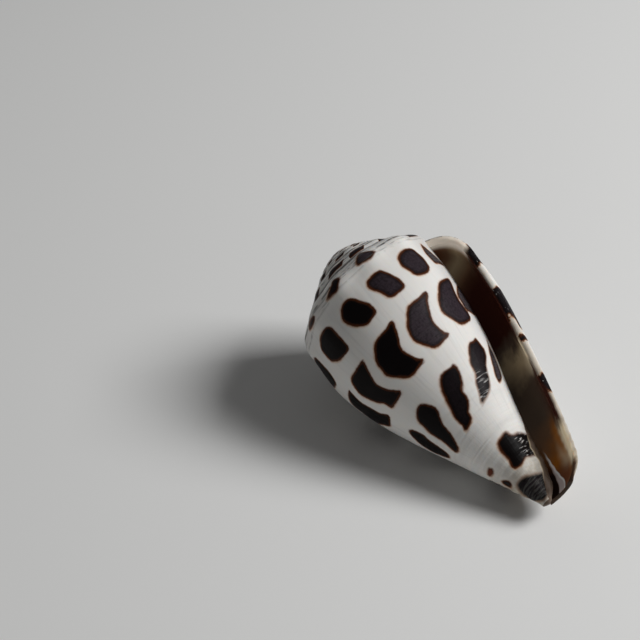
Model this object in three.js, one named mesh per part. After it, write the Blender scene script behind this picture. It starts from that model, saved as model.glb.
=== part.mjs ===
// A cone shell lying on its side: low spire, straight conical body, long narrow aperture.
// Millimetres, +Z up. The tip points along +X and the spire along -X.

import * as THREE from 'three';
import { ParametricGeometry } from 'three/addons/geometries/ParametricGeometry.js';
import { mergeGeometries, mergeVertices } from 'three/addons/utils/BufferGeometryUtils.js';

// Length along the coiling axis, from the tip to the apex
const LENGTH = 40;

// The shoulder at the lip, and one turn back from the lip: radius and height above the tip
const LIP_SHOULDER = { radius: 12.45, height: 27.7 };
const BODY_SHOULDER = { radius: 9.0, height: 32.8 };

// The side at the lip and one turn back, from the base up to the shoulder: [radius, height]
const LIP_SIDE = [[4, 0], [5.5, 0.9], [6.5, 2.6], [8.3, 7.9], [10.45, 16], [12, 23]];
const BODY_SIDE = [[0.5, 0], [0.65, 1.3], [1.65, 3.9], [3.8, 9.7], [6.9, 18.95], [8.6, 27.25]];

// How fast the base narrows behind the lip and how steeply that eases up the side,
// and how full the belly stays below the shoulder
const BASE_PINCH = 1.84;
const PINCH_POWER = 1.5;
const BELLY_FULLNESS = 0.54;

// The rounded top of a whorl, as the handles of a curve from its shoulder (1, 0) to its seam (0, 1)
const RAMP_HANDLES = [[1.06, 0.45], [0.75, 0.8]];

// The spire: 1 is a straight cone, more is a dome
const SPIRE_BOW = 1.45;
const SPIRE_TURNS = 6;

// How far the tops of the older whorls keep the last whorl's rounded shoulder,
// and the turns back from the lip between which they lose the rest of it
const SPIRE_STEP = 0.65;
const STEP_FADES = { from: 0.9, to: 1.5 };

// Shoulder knobs, which die out down the side by this power of the height
const KNOBS_PER_TURN = 12;
const KNOB_HEIGHT = 0.18;
const KNOB_POWER = 16;

// The wall at the lip's edge and further in, and the share of the aperture's depth where it is thickest
const LIP_WALL = 0.85;
const INNER_WALL = 1.25;
const THICKEST_BY = 0.4;

// The slit that ends the aperture and how suddenly it closes, and the aperture's depth in turns
const END_SLIT = 0.3;
const CLOSING_POWER = 4;
const DEPTH_AT_BASE = 0.3;
const DEPTH_AT_SHOULDER = 0.58;
const DEPTH_POWER = 0.8;

// The fold that winds down the pillar beside the aperture: its height, the middle and half width of its turn,
// and the places up the side between which it rises and dies out
const FOLD_HEIGHT = 1.1;
const FOLD_MIDDLE = THREE.MathUtils.degToRad(400);
const FOLD_REACH = THREE.MathUtils.degToRad(62);
const FOLD_RISES = { from: 0, to: 0.18 };
const FOLD_ENDS = { from: 0.3, to: 0.58 };

// The rounded end of the central pillar below the base
const PILLAR_END = 0.3;

// How the shell lies: its axis rises towards the spire, and the lip stands this far over from the top
const AXIS_RISE = THREE.MathUtils.degToRad(16.5);
const LIP_ROLL = THREE.MathUtils.degToRad(43);

// Depth of the small worn flat that it rests on
const REST_WEAR = 0.3;

// Facets: round one turn, up the side, and across each whorl of the spire
const COLUMNS = 60;
const SIDE_ROWS = 24;
const RAMP_ROWS = 4;

const TURN = 2 * Math.PI;
const GROWTH = LIP_SHOULDER.radius / BODY_SHOULDER.radius;
const APERTURE_COLUMNS = Math.round(DEPTH_AT_BASE * COLUMNS);
const APERTURE_TOP = 1 - 1 / SIDE_ROWS;
const WELD = 1e-4;

const sideCurve = (points, shoulder) => new THREE.SplineCurve(
  [...points, [shoulder.radius, shoulder.height]].map(([r, h]) => new THREE.Vector2(r, h)));
const lipCurve = sideCurve(LIP_SIDE, LIP_SHOULDER);
const bodyCurve = sideCurve(BODY_SIDE, BODY_SHOULDER);

// A whorl's top, from its shoulder over a rounded edge to the seam with the whorl before it
const rampCurve = new THREE.CubicBezierCurve(
  ...[[1, 0], ...RAMP_HANDLES, [0, 1]].map(([out, up]) => new THREE.Vector2(out, up)));

// A place on the shell from its radius, its angle back from the lip and its height above the tip
const place = (radius, turn, height) =>
  new THREE.Vector3(radius * Math.cos(turn), radius * Math.sin(turn), height);

// The whorls shrink by the same ratio in every turn
const shrink = (turn) => GROWTH ** (-turn / TURN);

// 1 at the lip and 0 one turn back
const lipShare = (turn) => (shrink(turn) - 1 / GROWTH) / (1 - 1 / GROWTH);

const knob = (turn) => KNOB_HEIGHT * shrink(turn) * Math.cos(KNOBS_PER_TURN * turn);

// The line along the shoulder, which winds up the spire as the seam
function shoulderLine(turn) {
  const radius = LIP_SHOULDER.radius * shrink(turn);
  const drop = LIP_SHOULDER.height - BODY_SHOULDER.height;
  const height = turn <= TURN
    ? BODY_SHOULDER.height + drop * lipShare(turn)
    : LENGTH - (LENGTH - BODY_SHOULDER.height) * (radius / BODY_SHOULDER.radius) ** SPIRE_BOW;
  return { radius: radius + knob(turn), height };
}

function pillarFold(turn, up) {
  const off = THREE.MathUtils.clamp((turn - FOLD_MIDDLE) / FOLD_REACH, -1, 1);
  const rise = THREE.MathUtils.smoothstep(up, FOLD_RISES.from, FOLD_RISES.to);
  const end = THREE.MathUtils.smoothstep(up, FOLD_ENDS.from, FOLD_ENDS.to);
  return FOLD_HEIGHT * (1 - off ** 2) ** 2 * rise * (1 - end);
}

// The side wall: from the base (up = 0) to the shoulder (up = 1)
function wall(turn, up) {
  if (up === 1) return shoulderLine(turn);
  const lip = lipCurve.getPoint(up);
  const body = bodyCurve.getPoint(up);
  const share = lipShare(turn);
  const level = lip.y / LIP_SHOULDER.height;
  const pinch = BASE_PINCH * (1 - level) ** PINCH_POWER;
  const fullness = BELLY_FULLNESS * Math.sin(Math.PI * level ** 2);
  const fade = 1 + pinch - fullness;
  const reach = share >= 0 ? share ** fade : share * level ** 2;
  const shoulderRelief = knob(turn) * level ** KNOB_POWER;
  return {
    radius: body.x + (lip.x - body.x) * reach + shoulderRelief + pillarFold(turn, up),
    height: body.y + (lip.y - body.y) * share,
  };
}

// The rounded top of the last whorl flattens towards a plain slope on the older whorls
function rampShape(turn, inward) {
  const worn = THREE.MathUtils.smoothstep(turn / TURN, STEP_FADES.from, STEP_FADES.to);
  const slope = new THREE.Vector2(1 - inward, inward);
  return slope.lerp(rampCurve.getPoint(inward), THREE.MathUtils.lerp(1, SPIRE_STEP, worn));
}

// The top of a whorl: from its shoulder (inward = 0) to the seam (inward = 1)
function ramp(turn, inward) {
  const outer = shoulderLine(turn);
  const seam = shoulderLine(turn + TURN);
  const { x, y } = rampShape(turn, inward);
  return {
    radius: seam.radius + (outer.radius - seam.radius) * x,
    height: outer.height + (seam.height - outer.height) * y,
  };
}

// How far back the aperture reaches at each level
const depth = (up) =>
  TURN * THREE.MathUtils.lerp(DEPTH_AT_BASE, DEPTH_AT_SHOULDER, up ** DEPTH_POWER);

// The inside of the wall: from the lip (back = 0) to the end of the aperture (back = 1)
function inner(back, up) {
  const turn = back * depth(up);
  const outside = wall(turn, up);
  const pillar = wall(turn + TURN, up);
  const thickening = THREE.MathUtils.smoothstep(back, 0, THICKEST_BY);
  const thickness = THREE.MathUtils.lerp(LIP_WALL, INNER_WALL, thickening);
  const open = Math.max(outside.radius - pillar.radius - thickness, END_SLIT);
  const close = back ** CLOSING_POWER;
  return {
    turn,
    radius: pillar.radius + THREE.MathUtils.lerp(open, END_SLIT, close),
    height: outside.height,
  };
}

// The inside of the whorl's top, down to the pillar's wall
function ceiling(back, inward) {
  const start = inner(back, 1);
  const turn = THREE.MathUtils.lerp(start.turn, back * depth(APERTURE_TOP), inward);
  const end = wall(back * depth(APERTURE_TOP) + TURN, APERTURE_TOP);
  const { x, y } = rampCurve.getPoint(inward);
  return {
    turn,
    radius: end.radius + (start.radius - end.radius) * x,
    height: start.height + (end.height - start.height) * y,
  };
}

const wallPlace = (turn, up) => {
  const { radius, height } = wall(turn, up);
  return place(radius, turn, height);
};
const rampPlace = (turn, inward) => {
  const { radius, height } = ramp(turn, inward);
  return place(radius, turn, height);
};
const innerPlace = (back, up) => {
  const { radius, turn, height } = inner(back, up);
  return place(radius, turn, height);
};
const ceilingPlace = (back, inward) => {
  const { radius, turn, height } = ceiling(back, inward);
  return place(radius, turn, height);
};
const pillarPlace = (back, up) => wallPlace(TURN + back * depth(up), up);

// A patch of facets over two directions, which faces the way its first direction crosses its second
const patch = (placeAt, slices, stacks) =>
  new ParametricGeometry((u, v, target) => target.copy(placeAt(u, v)), slices, stacks);

// The same patch, facing the other way
const patchReversed = (placeAt, slices, stacks) => patch((u, v) => placeAt(1 - u, v), slices, stacks);

// A strip of facets between two edges
const strip = (from, to, slices) => patch((u, v) => from(u).lerp(to(u), v), slices, 1);

// Facets from one centre to each step of an edge
function fan(centre, edge) {
  const corners = edge.slice(1).flatMap((next, i) => [centre, edge[i], next]);
  const geometry = new THREE.BufferGeometry().setFromPoints(corners);
  geometry.setIndex(corners.map((_, i) => i));
  return geometry;
}

const steps = (count) => Array.from({ length: count + 1 }, (_, i) => i / count);

function outside() {
  const spireColumns = SPIRE_TURNS * COLUMNS;
  return [
    patch((u, v) => wallPlace(u * TURN, v), COLUMNS, SIDE_ROWS),
    patch((u, v) => rampPlace(u * SPIRE_TURNS * TURN, v), spireColumns, RAMP_ROWS),
  ];
}

function aperture() {
  return [
    patchReversed(innerPlace, APERTURE_COLUMNS, SIDE_ROWS),
    patchReversed(ceilingPlace, APERTURE_COLUMNS, RAMP_ROWS),
    patch((u, v) => pillarPlace(u, v * APERTURE_TOP), APERTURE_COLUMNS, SIDE_ROWS - 1),
  ];
}

// The edge of the lip, on the side and on the whorl's top
function lipEdge() {
  return [
    strip((u) => wallPlace(0, u), (u) => innerPlace(0, u), SIDE_ROWS),
    strip((u) => rampPlace(0, u), (u) => ceilingPlace(0, u), RAMP_ROWS),
  ];
}

// The end of the aperture, deep inside
function apertureEnd() {
  const top = pillarPlace(1, APERTURE_TOP);
  const rim = [innerPlace(1, APERTURE_TOP), ...steps(RAMP_ROWS).slice(0, -1).map((t) => ceilingPlace(1, t))];
  return [
    strip((u) => innerPlace(1, u * APERTURE_TOP), (u) => pillarPlace(1, u * APERTURE_TOP), SIDE_ROWS - 1),
    fan(top, rim),
  ];
}

// The base: the cut edge of the wall beside the open canal, then the end of the pillar
function base() {
  const start = APERTURE_COLUMNS / COLUMNS;
  const round = steps(COLUMNS).map((u) => wallPlace((start + u) * TURN, 0));
  const loop = [...round, innerPlace(1, 0), round[0]];
  return [
    strip((u) => innerPlace(u, 0), (u) => wallPlace(u * start * TURN, 0), APERTURE_COLUMNS),
    fan(place(0, 0, -PILLAR_END), loop.reverse()),
  ];
}

// The small cap at the apex, inside the last seam
function apex() {
  const first = (SPIRE_TURNS - 1) * TURN;
  const seam = steps(COLUMNS).map((u) => rampPlace(first + u * TURN, 1));
  const step = steps(RAMP_ROWS).slice(0, -1).reverse().map((t) => rampPlace(SPIRE_TURNS * TURN, t));
  return [fan(place(0, 0, LENGTH), [...seam, ...step])];
}

// Lays the shell on its side, flattens the worn spot it rests on, and puts the origin under its middle
function lay(geometry) {
  const alongSpire = new THREE.Vector3(-Math.cos(AXIS_RISE), 0, Math.sin(AXIS_RISE));
  const upward = new THREE.Vector3(Math.sin(AXIS_RISE), 0, Math.cos(AXIS_RISE));
  const sideways = new THREE.Vector3().crossVectors(alongSpire, upward);
  geometry.rotateZ(LIP_ROLL);
  geometry.applyMatrix4(new THREE.Matrix4().makeBasis(upward, sideways, alongSpire));
  geometry.computeBoundingBox();
  const { min, max } = geometry.boundingBox;
  const floor = min.z + REST_WEAR;
  geometry.translate(-(min.x + max.x) / 2, -(min.y + max.y) / 2, -floor);
  const position = geometry.getAttribute('position');
  for (let i = 0; i < position.count; i += 1) {
    position.setZ(i, Math.max(position.getZ(i), 0));
  }
  return geometry;
}

function shellGeometry() {
  const patches = [...outside(), ...aperture(), ...lipEdge(), ...apertureEnd(), ...base(), ...apex()];
  for (const geometry of patches) {
    geometry.deleteAttribute('normal');
    geometry.deleteAttribute('uv');
  }
  const geometry = lay(mergeVertices(mergeGeometries(patches), WELD));
  geometry.computeVertexNormals();
  return geometry;
}

const shell = new THREE.Mesh(
  shellGeometry(),
  new THREE.MeshStandardMaterial({ color: 0xe9e4da, roughness: 0.3, metalness: 0 }));
shell.name = 'cone_shell';

const coneShell = new THREE.Group();
coneShell.add(shell);

export default coneShell;
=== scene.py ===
# A cone shell lying on its side: white and glossy, with rows of dark blotches and a brown aperture.
import math
import random

import bpy
import numpy as np
from mathutils import Matrix, Vector


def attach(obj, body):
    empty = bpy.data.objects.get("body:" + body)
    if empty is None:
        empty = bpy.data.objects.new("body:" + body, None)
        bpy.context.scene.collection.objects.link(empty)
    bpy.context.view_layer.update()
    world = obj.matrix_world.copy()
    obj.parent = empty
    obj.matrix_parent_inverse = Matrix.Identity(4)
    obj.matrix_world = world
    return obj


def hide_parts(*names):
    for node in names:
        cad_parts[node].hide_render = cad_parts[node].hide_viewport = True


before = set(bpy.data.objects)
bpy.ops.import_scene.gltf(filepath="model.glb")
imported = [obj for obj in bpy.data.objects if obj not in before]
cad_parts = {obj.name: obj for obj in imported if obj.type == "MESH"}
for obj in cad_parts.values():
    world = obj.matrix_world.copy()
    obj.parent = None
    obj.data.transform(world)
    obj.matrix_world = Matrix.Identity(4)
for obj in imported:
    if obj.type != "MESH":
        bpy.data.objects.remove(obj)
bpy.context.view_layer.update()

MM = 0.001
TURN = 2 * math.pi

# Driving sizes of the shell, in millimetres: the same as the solid's
LENGTH = 40.0
LIP_SHOULDER = (12.45, 27.7)
BODY_SHOULDER = (9.0, 32.8)
LIP_SIDE = [(4, 0), (5.5, 0.9), (6.5, 2.6), (8.3, 7.9), (10.45, 16), (12, 23)]
BODY_SIDE = [(0.5, 0), (0.65, 1.3), (1.65, 3.9), (3.8, 9.7), (6.9, 18.95), (8.6, 27.25)]
BASE_PINCH = 1.84
PINCH_POWER = 1.5
BELLY_FULLNESS = 0.54
SPIRE_BOW = 1.45
SPIRE_TURNS = 6
SPIRE_STEP = 0.65
STEP_FADES = (0.9, 1.5)
KNOBS_PER_TURN = 12
KNOB_HEIGHT = 0.18
KNOB_POWER = 16
LIP_WALL = 0.85
INNER_WALL = 1.25
THICKEST_BY = 0.4
END_SLIT = 0.3
CLOSING_POWER = 4
DEPTH_AT_BASE = 0.3
DEPTH_AT_SHOULDER = 0.58
DEPTH_POWER = 0.8
PILLAR_END = 0.3
AXIS_RISE = math.radians(16.5)
LIP_ROLL = math.radians(43)
REST_WEAR = 0.3
RAMP_HANDLES = [(1, 0), (1.06, 0.45), (0.75, 0.8), (0, 1)]
GROWTH = LIP_SHOULDER[0] / BODY_SHOULDER[0]

# A fold that winds down the pillar: its height, the middle and half width of its turn, and places up the side
FOLD_HEIGHT = 1.1
FOLD_MIDDLE = TURN + math.radians(40)
FOLD_REACH = math.radians(62)
FOLD_RISES = (0.0, 0.18)
FOLD_ENDS = (0.3, 0.58)

# How far past the lip the white of the outside goes on round the pillar, in degrees, at places up the side
PILLAR_BARE = [(0, -60), (0.05, -50), (0.15, -14), (0.24, -6), (0.33, 0), (0.4, -10), (0.46, 0), (0.54, 21),
               (1, 21)]
PILLAR_FADE = math.radians(9)
# How much of the inside the cut edge beside the canal counts as
CANAL_EDGE_INSIDE = 0.9

# Fine relief that only the looks have: heights in mm, and places up the side where it starts and ends
LIP_ROUND = 0.32
LIP_CHIPS = 0.06
CHIP_WAVES = (97, 61, 151)
LIP_STARTS = (0, 0.12)
LIP_ENDS = (1.6, 2)
BASE_ROUND = 0.3
CORD_HEIGHT = 0.035
CORD_PITCH = 0.95
CORD_STARTS = (0.02, 0.06)
CORD_ENDS = (0.17, 0.34)

# Facets round one turn, up the side, across each whorl's top and across the lip's edge
COLUMNS = 320
SIDE_ROWS = 120
RAMP_ROWS = 12
RIM_ROWS = 5
CAP_ROWS = 5
APERTURE_COLUMNS = round(DEPTH_AT_BASE * COLUMNS)
APERTURE_TOP = 1 - RIM_ROWS / SIDE_ROWS
WELD = 2e-6

# The photograph's camera: where it stands round the shell, and how it is aimed, in degrees, mm and pixels
VIEW_AZIMUTH = math.radians(52.15)
VIEW_ELEVATION = math.radians(40.41)
VIEW_DISTANCE = 200.5
AIM_RIGHT = -13.84
AIM_UP = 6.12
AIM_HEIGHT = 20.0
FOCAL_PIXELS = 1718.8
FRAME_PIXELS = 640
SENSOR = 36.0


# The shape of the shell

def spline(points, t):
    """A smooth curve through the points, for t from 0 to 1."""
    points = np.asarray(points, float)
    last = len(points) - 1
    t = np.clip(np.asarray(t, float), 0, 1) * last
    i = np.minimum(t.astype(int), last - 1)
    w = (t - i)[..., None]
    before = points[np.maximum(i - 1, 0)]
    start = points[i]
    end = points[i + 1]
    after = points[np.minimum(i + 2, last)]
    leave = (end - before) / 2
    arrive = (after - start) / 2
    cubic = 2 * start - 2 * end + leave + arrive
    square = 3 * end - 3 * start - 2 * leave - arrive
    return ((cubic * w + square) * w + leave) * w + start


def smooth(t, low, high):
    t = np.clip((t - low) / (high - low), 0, 1)
    return t * t * (3 - 2 * t)


def shrink(turn):
    return GROWTH ** (-turn / TURN)


def lip_share(turn):
    """1 at the lip and 0 one turn back."""
    return (shrink(turn) - 1 / GROWTH) / (1 - 1 / GROWTH)


def knob(turn):
    return KNOB_HEIGHT * shrink(turn) * np.cos(KNOBS_PER_TURN * turn)


def shoulder_line(turn):
    """Radius and height of the shoulder, which winds up the spire as the seam."""
    radius = LIP_SHOULDER[0] * shrink(turn)
    on_body = BODY_SHOULDER[1] + (LIP_SHOULDER[1] - BODY_SHOULDER[1]) * lip_share(turn)
    on_spire = LENGTH - (LENGTH - BODY_SHOULDER[1]) * (radius / BODY_SHOULDER[0]) ** SPIRE_BOW
    return radius + knob(turn), np.where(turn <= TURN, on_body, on_spire)


def wall(turn, up):
    """Radius and height of the side wall, from the base (up 0) to the shoulder (up 1)."""
    lip = spline([*LIP_SIDE, LIP_SHOULDER], up)
    body = spline([*BODY_SIDE, BODY_SHOULDER], up)
    share = lip_share(turn)
    level = np.clip(lip[..., 1] / LIP_SHOULDER[1], 0, 1)
    pinch = BASE_PINCH * (1 - level) ** PINCH_POWER
    fade = 1 + pinch - BELLY_FULLNESS * np.sin(np.pi * level ** 2)
    reach = np.where(share >= 0, np.abs(share) ** fade, share * level ** 2)
    radius = body[..., 0] + (lip[..., 0] - body[..., 0]) * reach
    height = body[..., 1] + (lip[..., 1] - body[..., 1]) * share
    shoulder_relief = knob(turn) * level ** KNOB_POWER
    relief = shoulder_relief + spiral_cords(lip[..., 1], level) + pillar_fold(turn, up)
    return radius + relief, height


def spiral_cords(height, level):
    """Low cords that wind round the base and fade out towards the middle of the side."""
    fade = smooth(level, *CORD_STARTS) * (1 - smooth(level, *CORD_ENDS))
    return CORD_HEIGHT * np.cos(TURN * height / CORD_PITCH) * fade


def pillar_fold(turn, up):
    """A low rounded fold down the pillar, just inside the aperture."""
    off = np.clip((turn - FOLD_MIDDLE) / FOLD_REACH, -1, 1)
    return FOLD_HEIGHT * (1 - off ** 2) ** 2 * smooth(up, *FOLD_RISES) * (1 - smooth(up, *FOLD_ENDS))


def ramp_shape(turn, inward):
    """How far in and up the top of a whorl is, between its shoulder and the seam."""
    handles = np.asarray(RAMP_HANDLES, float)
    t = np.asarray(inward, float)[..., None]
    rest = 1 - t
    curve = (handles[0] * rest ** 3 + 3 * handles[1] * rest ** 2 * t
             + 3 * handles[2] * rest * t ** 2 + handles[3] * t ** 3)
    slope = np.concatenate([rest, t], -1)
    keep = 1 + (SPIRE_STEP - 1) * smooth(np.asarray(turn) / TURN, *STEP_FADES)
    shape = slope + (curve - slope) * keep[..., None]
    return shape[..., 0], shape[..., 1]


def ramp(turn, inward):
    """Radius and height of a whorl's top, from its shoulder (inward 0) to the seam (inward 1)."""
    outer_radius, outer_height = shoulder_line(turn)
    seam_radius, seam_height = shoulder_line(turn + TURN)
    across, rise = ramp_shape(turn, inward)
    radius = seam_radius + (outer_radius - seam_radius) * across
    return radius, outer_height + (seam_height - outer_height) * rise


def depth(up):
    """How far back the aperture reaches at each level."""
    deeper = (DEPTH_AT_SHOULDER - DEPTH_AT_BASE) * np.asarray(up, float) ** DEPTH_POWER
    return TURN * (DEPTH_AT_BASE + deeper)


def inner(back, up):
    """Turn, radius and height of the inside of the wall, from the lip (back 0) to its end (back 1)."""
    turn = back * depth(up)
    outside, height = wall(turn, up)
    pillar, _ = wall(turn + TURN, up)
    thickness = LIP_WALL + (INNER_WALL - LIP_WALL) * smooth(back, 0, THICKEST_BY)
    gap = np.maximum(outside - pillar - thickness, END_SLIT)
    return turn, pillar + gap + (END_SLIT - gap) * back ** CLOSING_POWER, height


def ceiling_place(back, inward):
    """A point of the inside of the whorl's top, down to the pillar's wall."""
    top = np.full_like(np.asarray(back, float), APERTURE_TOP)
    start_turn, start_radius, start_height = inner(back, np.ones_like(top))
    end_turn = back * depth(top)
    end_radius, end_height = wall(end_turn + TURN, top)
    across, rise = ramp_shape(np.zeros_like(top), inward)
    return place(end_radius + (start_radius - end_radius) * across,
                 start_turn + (end_turn - start_turn) * inward,
                 start_height + (end_height - start_height) * rise)


def place(radius, turn, height):
    return np.stack([radius * np.cos(turn), radius * np.sin(turn), height], -1)


def wall_place(turn, up):
    radius, height = wall(turn, up)
    return place(radius, turn, height)


def ramp_place(turn, inward):
    radius, height = ramp(turn, inward)
    return place(radius, turn, height)


def inner_place(back, up):
    turn, radius, height = inner(back, up)
    return place(radius, turn, height)


def pillar_place(back, up):
    return wall_place(TURN + back * depth(up), up)


# How the shell lies

ALONG_SPIRE = np.array([-math.cos(AXIS_RISE), 0, math.sin(AXIS_RISE)])
UPWARD = np.array([math.sin(AXIS_RISE), 0, math.cos(AXIS_RISE)])
SIDEWAYS = np.cross(ALONG_SPIRE, UPWARD)


def tip_over(points):
    """Turns the shell from standing on its tip to lying on its side."""
    east = points[..., 0] * math.cos(LIP_ROLL) - points[..., 1] * math.sin(LIP_ROLL)
    north = points[..., 0] * math.sin(LIP_ROLL) + points[..., 1] * math.cos(LIP_ROLL)
    return east[..., None] * UPWARD + north[..., None] * SIDEWAYS + points[..., 2:] * ALONG_SPIRE


def resting_place():
    """The point under the middle of the shell, at the level of its worn resting flat."""
    turns, ups = np.meshgrid(np.linspace(0, TURN, COLUMNS + 1), np.linspace(0, 1, SIDE_ROWS + 1))
    apex = np.array([[0, 0, LENGTH]])
    pillar_end = np.array([[0, 0, -PILLAR_END]])
    points = np.vstack([tip_over(wall_place(turns, ups)).reshape(-1, 3),
                        tip_over(ramp_place(turns, ups)).reshape(-1, 3),
                        tip_over(apex), tip_over(pillar_end)])
    low, high = points.min(0), points.max(0)
    return np.array([(low[0] + high[0]) / 2, (low[1] + high[1]) / 2, low[2] + REST_WEAR])


RESTING_PLACE = resting_place()


def lay(points):
    points = tip_over(points) - RESTING_PLACE
    points[..., 2] = np.maximum(points[..., 2], 0)
    return points


# The photograph's view of the shell

def view_axes():
    back = np.array([math.sin(VIEW_AZIMUTH) * math.cos(VIEW_ELEVATION),
                     -math.cos(VIEW_AZIMUTH) * math.cos(VIEW_ELEVATION),
                     math.sin(VIEW_ELEVATION)])
    right = np.array([math.cos(VIEW_AZIMUTH), math.sin(VIEW_AZIMUTH), 0])
    return right, np.cross(back, right), back


def aim_point():
    right, up, _ = view_axes()
    middle = lay(np.array([[0, 0, AIM_HEIGHT]]))[0]
    return middle + right * AIM_RIGHT + up * AIM_UP


def pixels(points):
    """Where the photograph's camera sees points of the shell, in mm."""
    right, up, back = view_axes()
    ray = points - (aim_point() + back * VIEW_DISTANCE)
    scale = FOCAL_PIXELS / -(ray @ back)
    half = FRAME_PIXELS / 2
    return np.stack([half + scale * (ray @ right), half - scale * (ray @ up)], -1)


# The skin in patches, each a grid bent to its place

def glaze(turn, up):
    """1 where the pillar is glazed brown and 0 where it is bare white, as the outside is."""
    places, degrees = np.transpose(PILLAR_BARE)
    bare = TURN + np.radians(np.interp(up, places, degrees))
    return smooth(turn, bare, bare + PILLAR_FADE)


def wall_fields(turn, up, deep=0):
    glazed = glaze(turn, up)
    return dict(turn=turn, up=up, inside=glazed, pillar=glazed, deep=deep)


def side_patch(u, v):
    return wall_place(u * TURN, v), wall_fields(u * TURN, v)


def spire_patch(u, v):
    turn = u * SPIRE_TURNS * TURN
    return ramp_place(turn, v), dict(turn=turn, up=1 + v)


def lining_patch(u, v):
    back = 1 - u
    return inner_place(back, v), dict(turn=back * depth(v), up=v, inside=1, deep=back)


def ceiling_patch(u, v):
    back = 1 - u
    return ceiling_place(back, v), dict(turn=back * depth(1), up=1 + v, inside=1, deep=back)


def pillar_patch(u, v):
    up = v * APERTURE_TOP
    return pillar_place(u, up), wall_fields(TURN + u * depth(up), up, u)


def lip_bulge(up, across):
    """The rounded edge of the lip: it stands forward of the cut, and downward at the base."""
    forward = smooth(up, *LIP_STARTS) * (1 - smooth(up, *LIP_ENDS))
    downward = 1 - smooth(up, *LIP_STARTS)
    height = np.sin(np.pi * across)
    first, second, third = (np.sin(wave * up + count) for count, wave in enumerate(CHIP_WAVES))
    chips = LIP_CHIPS * (first + second * third)
    return np.stack([np.zeros_like(height), -forward * (LIP_ROUND + chips) * height,
                     -downward * BASE_ROUND * height], -1)


def side_rim_patch(up, across):
    """The lip's edge up the side."""
    outer = wall_place(np.zeros_like(up), up)
    inside = inner_place(np.zeros_like(up), up)
    points = outer + (inside - outer) * across[..., None] + lip_bulge(up, across)
    return points, dict(turn=0, up=up, inside=across)


def top_rim_patch(inward, across):
    """The lip's edge on the whorl's top, which runs into the wall of the whorl before it."""
    outer = ramp_place(np.zeros_like(inward), inward)
    inside = ceiling_place(np.zeros_like(inward), inward)
    straight = outer + (inside - outer) * across[..., None]
    before = np.full_like(inward, TURN)
    joined = wall_place(before, 1 - across * (1 - APERTURE_TOP))
    chord_end = wall_place(before, np.ones_like(inward))
    chord_start = wall_place(before, np.full_like(inward, APERTURE_TOP))
    chord = chord_end + (chord_start - chord_end) * across[..., None]
    points = straight + (joined - chord) * inward[..., None] ** 4 + lip_bulge(1 + inward, across)
    return points, dict(turn=0, up=1 + inward, inside=across)


def base_rim(back, across):
    """The cut edge of the wall beside the open canal."""
    start = APERTURE_COLUMNS / COLUMNS * TURN
    outer = wall_place(back * start, np.zeros_like(back))
    inside = inner_place(back, np.zeros_like(back))
    bulge = lip_bulge(np.zeros_like(back), across)
    return outer + (inside - outer) * across[..., None] + bulge


def base_rim_patch(u, v):
    back = 1 - u
    return base_rim(back, v), dict(turn=back * depth(0), up=0, inside=CANAL_EDGE_INSIDE)


def cap(edge, centre, rows, fields):
    """A patch from an edge in to one point, a little domed."""
    edge = np.asarray(edge)

    def at(u, v):
        step = np.rint(u * (len(edge) - 1)).astype(int)
        dome = 1 - (1 - v) ** 2
        points = edge[step] + (centre - edge[step]) * v[..., None]
        points[..., 2] = edge[step][..., 2] + (centre[2] - edge[step][..., 2]) * dome
        return points, fields
    return len(edge) - 1, rows, at


def aperture_end():
    """The narrow strip that closes the aperture's end, and the fan above it."""
    ups = np.linspace(APERTURE_TOP, 1, RIM_ROWS + 1)
    inwards = np.linspace(0, 1, RAMP_ROWS + 1)[1:-1]
    chain = np.vstack([inner_place(np.ones_like(ups), ups), ceiling_place(np.ones_like(inwards), inwards)])
    top = pillar_place(np.ones(1), np.full(1, APERTURE_TOP))[0]
    deep = dict(turn=0, up=1, inside=1, deep=1)

    def strip(u, v):
        one = np.ones_like(u)
        start = inner_place(one, u * APERTURE_TOP)
        end = pillar_place(one, u * APERTURE_TOP)
        return start + (end - start) * v[..., None], dict(turn=0, up=u, inside=1, deep=1)
    return [(SIDE_ROWS - RIM_ROWS, 1, strip), cap(chain, top, 1, deep)]


def pillar_cap():
    """The rounded end of the pillar, with the closed end of the canal."""
    start = APERTURE_COLUMNS / COLUMNS
    turns = (start + np.linspace(0, 1, COLUMNS + 1)) * TURN
    round_edge = wall_place(turns, np.zeros_like(turns))
    across = np.linspace(1, 0, RIM_ROWS + 1)
    slot_edge = base_rim(np.ones_like(across), across)
    edge = np.vstack([round_edge, slot_edge])[::-1]
    glazed = dict(turn=TURN, up=0, inside=1, pillar=1)
    return cap(edge, np.array([0, 0, -PILLAR_END]), CAP_ROWS, glazed)


def apex_cap():
    """The tip of the spire, from the last seam up to the apex."""
    turns = (SPIRE_TURNS - 1 + np.linspace(0, 1, COLUMNS + 1)) * TURN
    seam = ramp_place(turns, np.ones_like(turns))
    inwards = np.linspace(1, 0, RAMP_ROWS + 1)[1:]
    step = ramp_place(np.full_like(inwards, SPIRE_TURNS * TURN), inwards)
    edge = np.vstack([seam, step])
    return cap(edge, np.array([0, 0, LENGTH]), CAP_ROWS, dict(turn=SPIRE_TURNS * TURN, up=1.5))


def skin_patches():
    """The patches of the skin: facets each way, and a function for the places and fields of the corners."""
    return [
        (COLUMNS, SIDE_ROWS, side_patch),
        (SPIRE_TURNS * COLUMNS, RAMP_ROWS, spire_patch),
        (APERTURE_COLUMNS, SIDE_ROWS, lining_patch),
        (APERTURE_COLUMNS, RAMP_ROWS, ceiling_patch),
        (APERTURE_COLUMNS, SIDE_ROWS - RIM_ROWS, pillar_patch),
        (SIDE_ROWS, RIM_ROWS, side_rim_patch),
        (RAMP_ROWS, RIM_ROWS, top_rim_patch),
        (APERTURE_COLUMNS, RIM_ROWS, base_rim_patch),
        *aperture_end(), pillar_cap(), apex_cap(),
    ]


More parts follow.
